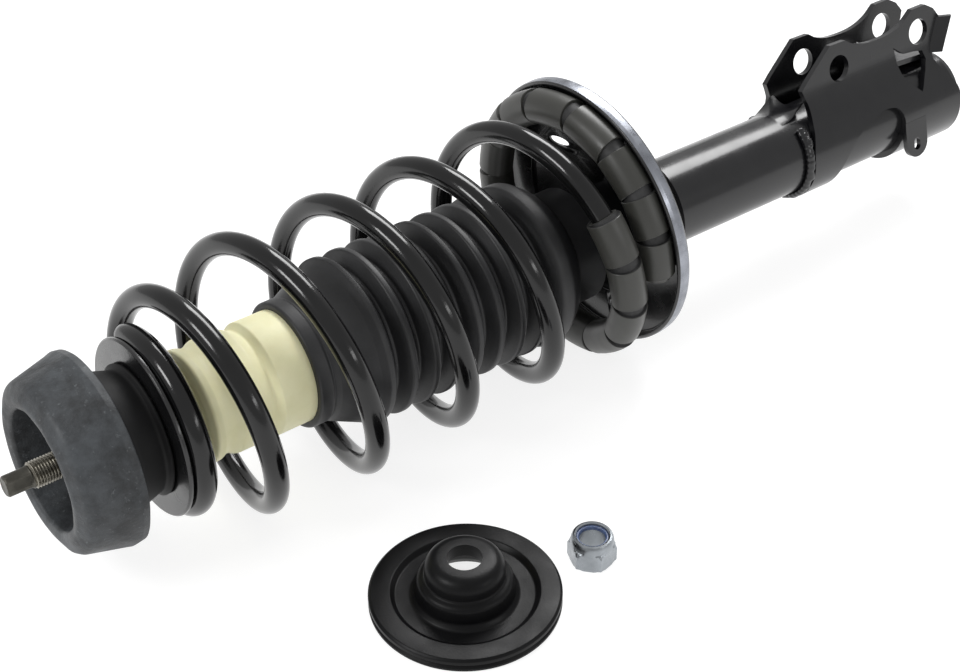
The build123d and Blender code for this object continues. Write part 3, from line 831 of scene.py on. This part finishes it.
def make_lower_seat(materials):
    """Pressed dish with a rolled lip, a bright outer band and three drain holes."""
    wall = SEAT_R - SEAT_T
    outline = [
        (SEAT_FLOOR_R, 0), (SEAT_R - 0.9, 0), (SEAT_R, -1.4), (SEAT_R + 0.1, -5.0),
        (SEAT_R - 0.2, -7.6), (SEAT_R - 1.2, -SEAT_DEPTH), (wall + 0.2, -SEAT_DEPTH), (wall, -6.8),
        (wall, -SEAT_T), (SEAT_FLOOR_R, -SEAT_T), (SEAT_FLOOR_R, 0),
    ]
    radii = [0.8, 0.8, 1.2, 0.8, 0.6, 0.5, 0.8, 1.6, 0.4]
    matrix = seat_matrix()
    paint = materials["seat_paint"]
    piece = turned("lower_seat_dish", arcs(outline, radii)[:-1], paint, 224, matrix)
    for turn in DRAIN_TURNS:
        turn = math.radians(turn)
        middle = Vector((DRAIN_REACH * math.cos(turn), DRAIN_REACH * math.sin(turn)))
        cut_away(piece, post(middle, DRAIN_R, -SEAT_T - 1, 1, paint, matrix))
    piece.data.materials.append(materials["rim_silver"])
    inverse = matrix.inverted()
    for polygon in piece.data.polygons:
        centre = inverse @ polygon.center
        if centre.xy.length > BAND_R and BAND_LOW < centre.z < BAND_HIGH:
            polygon.material_index = 1
    stand_for(piece, "strut_body", "lower_spring_seat")


def make_seat_cone(material):
    """Pressed cone from the dish's inner edge to a collar on the tube, with one small window."""
    around = 160
    inverse = STRUT.inverted() @ seat_matrix()

    def ring(wide_r, narrow_r, fraction, s_shift=0.0):
        """Loop between the dish's edge, 0, and the collar's, 1, then shifted down the strut."""
        loop = []
        for k in range(around):
            turn = math.tau * k / around
            across = Vector((math.cos(turn), math.sin(turn), 0))
            first = inverse @ (across * wide_r)
            last = across * narrow_r + Vector((0, 0, SEAT_S + CONE_DEPTH))
            loop.append(first.lerp(last, fraction) + Vector((0, 0, s_shift)))
        return loop

    wide, narrow = CONE_WIDE_R, CONE_NARROW_R
    groove = narrow - 2.6
    rings = [ring(wide, narrow, 0.0), ring(wide, narrow, 0.06), ring(wide - 0.4, narrow - 0.2, 0.5),
             ring(wide, narrow, 0.94), ring(wide, narrow, 1.0)]
    collar = [
        (narrow, 1.2), (groove, 2.4), (groove, 6.5), (narrow, 9.0), (TUBE_R, 9.0), (TUBE_R, -1.0),
    ]
    rings += [ring(0, radius, 1.0, s_shift) for radius, s_shift in collar]
    wide, narrow = wide - CONE_SHEET, narrow - CONE_SHEET
    rings += [ring(wide, narrow, 0.94), ring(wide - 0.4, narrow - 0.2, 0.5)]
    rings += [ring(wide, narrow, 0.0)]
    vertices = [point for loop in rings for point in loop]
    faces = skin(len(rings), around, closed=True)
    piece = mesh_object("seat_cone", vertices, faces, material)
    cut_away(piece, post(WINDOW_PLACE, WINDOW_R, SEAT_S - 6, SEAT_S + 26, material, STRUT))
    stand_for(piece, "strut_body", "seat_collar")


# ---------------------------------------------------------------- loose retainer and nut

def standing(node):
    """Carries millimetres about a loose piece's own axis to the spot where its node stands."""
    low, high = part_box(node)
    centre = (low + high) / 2
    return Matrix.Translation((centre.x, centre.y, 0)) @ Matrix.Scale(MM, 4)


def make_retainer(material):
    """Pressed dish with a rolled rim and a raised hub round its hole."""
    outline = [
        (8.8, 29), (8.8, 21.5), (10.4, 21.5), (10.6, 26.2), (14.5, 26.2), (16.2, 24.5), (17.8, 17),
        (19.8, 15), (21.8, 7), (24.2, 2.4), (36, 2.4), (38, 4.6), (44.5, 4.6), (44.5, 0.02),
        (47.4, 0.02), (48, 0.9), (48, 2.1), (46.6, 3.4), (48, 4.7), (48, 6.6), (46.8, 7.6),
        (37.2, 7.6), (34.8, 5.2), (27, 5.2), (24.8, 7.8), (23.8, 16.2), (19.9, 17.6), (20.1, 29),
        (8.8, 29),
    ]
    radii = [
        0.3, 0.3, 0.6, 1.5, 1.5, 2, 2, 3, 2, 0.8, 0.8, 0.6, 0.3, 0.4, 0.3, 0.4, 0.4, 0.3, 0.6, 0.8,
        1.2, 1.6, 2.2, 3.2, 3.4, 1.6, 6.8,
    ]
    place = standing("retainer_plate")
    piece = turned("retainer_dish", arcs(outline, radii)[:-1], material, 160, place, sharp=40)
    stand_for(piece, "retainer", "retainer_plate")


NUT_CORNER_TURN = 12.0
NUT_HALF_FLATS = 11.0


def make_nut(metal, nylon):
    """Hexagon nut, chamfered on its corners, whose round collar grips a nylon ring."""
    def hexed(point, turn):
        sixth = (math.degrees(turn) - NUT_CORNER_TURN) % 60 - 30
        limit = NUT_HALF_FLATS / math.cos(math.radians(sixth))
        reach = point.xy.length
        if reach > limit:
            point.x *= limit / reach
            point.y *= limit / reach
        return point

    outline = [
        (7, 0.8), (7.8, 0), (11.3, 0), (12.7, 0.8), (12.7, 8.7), (11.7, 10.3), (11.1, 11),
        (11, 13.0), (10.7, 14.4), (10.0, 15.4), (9.1, 15.7), (8.3, 15.3), (8.1, 14.4), (8.9, 14.2),
        (8.9, 12.4), (7, 12.4), (7, 0.8),
    ]
    place = standing("locking_nut")
    piece = turned("locking_nut_hexagon", outline[:-1], metal, 240, place, hexed, 25)
    stand_for(piece, "nut", "locking_nut")
    ring = [(6.7, 12.5), (8.85, 12.5), (8.05, 14.4), (7.2, 14.5), (6.7, 13.8), (6.7, 12.5)]
    place = standing("nylon_insert")
    piece = turned("nylon_ring", arcs(ring, [0, 0.2, 0.5, 0.4])[:-1], nylon, 128, place)
    stand_for(piece, "nut", "nylon_insert")


# ---------------------------------------------------------------- welds on the bracket

WELD_S = 509.2
WELD_R = 26.9
WELD_FROM = 46
WELD_TO = 314
WELD_HEAVY = 104
WELD_SIZE = 2.4
WELD_RIPPLE = 0.22
WELD_LUMP = 0.7
WELD_WIDE = 1.3
WELD_PROUD = 0.85


def make_welds(material):
    """Uneven rippled bead round the tube, heavier where the wrap's corners start."""
    around, step = 18, 1.2
    rings = []
    count = int((WELD_TO - WELD_FROM) / step)
    for i in range(count + 1):
        turn = math.radians(WELD_FROM + (WELD_TO - WELD_FROM) * i / count)
        outward = Vector((math.cos(turn), math.sin(turn), 0))
        lump = noise.noise(Vector((math.degrees(turn) * 0.11, 2.0, 0.0)))
        ripple = abs(math.sin(math.degrees(turn) * 0.42))
        fade = min(1.0, 0.35 + 0.4 * min(i, count - i))
        from_top = abs(math.degrees(turn) - 180)
        if from_top > WELD_HEAVY:
            lump += 0.55 * math.sin(from_top * 1.1) ** 2
        size = (WELD_SIZE + WELD_RIPPLE * ripple + WELD_LUMP * lump) * fade
        centre = outward * WELD_R + Vector((0, 0, WELD_S + 0.8 * lump))
        ring = []
        for k in range(around):
            t = math.tau * k / around
            across = outward * math.cos(t) * WELD_PROUD + Vector((0, 0, math.sin(t) * WELD_WIDE))
            ring.append(centre + across * size)
        rings.append(ring)
    ends = [Vector((WELD_R * math.cos(math.radians(t)), WELD_R * math.sin(math.radians(t)), WELD_S))
            for t in (WELD_FROM, WELD_TO)]
    bead = swept("weld_bead", rings, ends, material)
    stand_for(bead, "strut_body", "bracket_welds")


WEB_FOOT_S = 501.0
WEB_TOP_S = 518.5
WEB_TOP_X = 30.5
WEB_HALF = 13.4
WEB_HOLLOW = 5.5
WEB_SAG = 1.5
WEB_SHEET = 2.6


def make_web(material):
    """Dished sheet between the ears: its foot follows the tube and its top edge is hollowed."""
    columns, rows = 24, 8
    vertices = []
    for layer in (0, WEB_SHEET):
        for i in range(columns + 1):
            y = WEB_HALF * (2 * i / columns - 1)
            foot = math.sqrt((TUBE_R - 0.1) ** 2 - y ** 2)
            dip = 1 - (y / WEB_HALF) ** 2
            for j in range(rows + 1):
                up = j / rows
                x = foot + (WEB_TOP_X - WEB_HOLLOW * dip * 0.7 - foot) * up
                s = WEB_FOOT_S + (WEB_TOP_S - WEB_FOOT_S) * up ** 0.8 - WEB_SAG * dip * up + layer
                vertices.append((x, y, s))
    width = rows + 1
    sheet = (columns + 1) * width
    faces = []
    for i in range(columns):
        for j in range(rows):
            a = i * width + j
            faces.append((a, a + 1, a + width + 1, a + width))
            faces.append((sheet + a + width, sheet + a + width + 1, sheet + a + 1, sheet + a))
    rim = [i * width for i in range(columns + 1)]
    rim += [columns * width + j for j in range(1, rows + 1)]
    rim += [i * width + rows for i in range(columns - 1, -1, -1)]
    rim += [j for j in range(rows - 1, 0, -1)]
    for k, a in enumerate(rim):
        b = rim[(k + 1) % len(rim)]
        faces.append((a, b, sheet + b, sheet + a))
    piece = mesh_object("bracket_web_sheet", vertices, faces, material, sharp=40)
    stand_for(piece, "strut_body", "bracket_web")


# ---------------------------------------------------------------- carried-over CAD nodes

FLAT_LIMIT = 0.6
EDGE_LIMIT = 28.0


def soften(node, width):
    """Breaks the sharp edges of a CAD node by a small radius, in mm."""
    piece = frame["nodes"][node]
    flats = piece.modifiers.new("merge_flat_faces", "DECIMATE")
    flats.decimate_type = "DISSOLVE"
    flats.angle_limit = math.radians(FLAT_LIMIT)
    edges = piece.modifiers.new("break_edges", "BEVEL")
    edges.width = width * MM
    edges.segments = 3
    edges.limit_method = "ANGLE"
    edges.angle_limit = math.radians(EDGE_LIMIT)
    edges.harden_normals = True


SOFT_EDGES = {
    "knuckle_bracket": 0.7, "bracket_stiffener": 0.6, "hose_tab": 0.6, "bottom_cap": 0.6,
    "slotted_nut": 0.3,
}


def paint_nodes(materials):
    for part in frame["record"]["subparts"]:
        node = frame["nodes"][part["node"]]
        for holder in node.material_slots:
            holder.material = materials[part["material_slot"]]


make_camera()
make_studio()
MATERIALS = make_materials()
paint_nodes(MATERIALS)
make_spring(MATERIALS["spring_paint"])
# The seal rubber's darker black also serves as painted shade in the sleeve's gaps.
make_sleeve(MATERIALS["sleeve_plastic"], MATERIALS["seal_rubber"])
make_bump_stop(MATERIALS["bump_foam"])
make_boot(MATERIALS["boot_rubber"])
make_mount(MATERIALS)
make_rod(MATERIALS)
make_upper_seat(MATERIALS["seat_paint"])
make_lower_seat(MATERIALS)
make_seat_cone(MATERIALS["seat_paint"])
make_retainer(MATERIALS["retainer_paint"])
make_nut(MATERIALS["zinc"], MATERIALS["nylon"])
make_welds(MATERIALS["black_paint"])
make_web(MATERIALS["black_paint"])
for soft_node, soft_width in SOFT_EDGES.items():
    soften(soft_node, soft_width)
